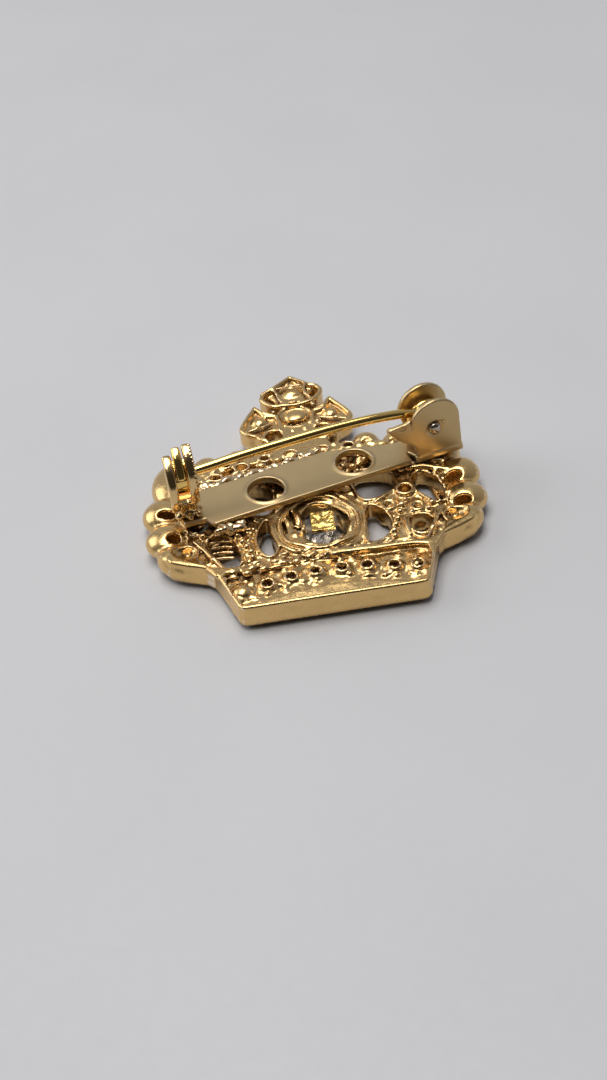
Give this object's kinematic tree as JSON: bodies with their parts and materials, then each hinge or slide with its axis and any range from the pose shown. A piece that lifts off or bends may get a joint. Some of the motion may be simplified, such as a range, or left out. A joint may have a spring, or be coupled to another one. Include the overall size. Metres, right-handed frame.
{
  "type": "crown brooch",
  "caption": "Crown-shaped cast brooch with set stones, a hinged pin stem and a rotating safety catch soldered to its back.",
  "frame": {"origin": "middle of the object's footprint, on the surface that it lies on face down", "axes": "+Z out of the brooch's back, away from the surface; +Y up the crown towards the tip of the cross; +X to the right as seen from the back"},
  "size_m": [0.0304, 0.0316, 0.0107],
  "materials": {
    "cast_gold": "gold-plated casting, bright on the edges and rough in the hollows",
    "sheet_gold": "gold-plated stamped sheet, satin to bright",
    "wire_gold": "gold-plated drawn wire, polished",
    "rivet": "worn bright rivet head",
    "solder": "plated solder, lumpy and bright",
    "small_stone": "clear cut glass",
    "large_stone": "foil-backed cut glass"
  },
  "bodies": {
    "crown": {"crown_casting": "cast_gold", "bar_plate": "sheet_gold", "catch_housing": "sheet_gold", "joint_rivet": "rivet", "solder_upper": "solder", "solder_lower": "solder", "centre_stone": "large_stone", "band_stone_left_1": "small_stone", "band_stone_left_2": "small_stone", "band_stone_left_3": "small_stone", "band_stone_left_4": "small_stone", "band_stone_right_1": "small_stone", "band_stone_right_2": "small_stone", "band_stone_right_3": "small_stone", "band_stone_right_4": "small_stone", "trefoil_stone_left_top": "small_stone", "trefoil_stone_left_inner": "small_stone", "trefoil_stone_left_outer": "small_stone", "trefoil_stone_right_top": "small_stone", "trefoil_stone_right_inner": "small_stone", "trefoil_stone_right_outer": "small_stone", "cross_stone": "small_stone"},
    "pin": {"pin_stem": "wire_gold"},
    "rotor": {"catch_rotor": "wire_gold"}
  },
  "joints": [
    {"name": "pin_hinge", "type": "hinge", "parent": "crown", "child": "pin", "pos_m": [0.01119, 0.00141, 0.0061], "axis": [-0.2504, 0.9681, 0], "range_deg": [0, 100]},
    {"name": "catch_lock", "type": "hinge", "parent": "crown", "child": "rotor", "pos_m": [-0.01126, -0.00326, 0.0075], "axis": [-0.9936, -0.1132, 0], "range_deg": [0, 75]}
  ]
}
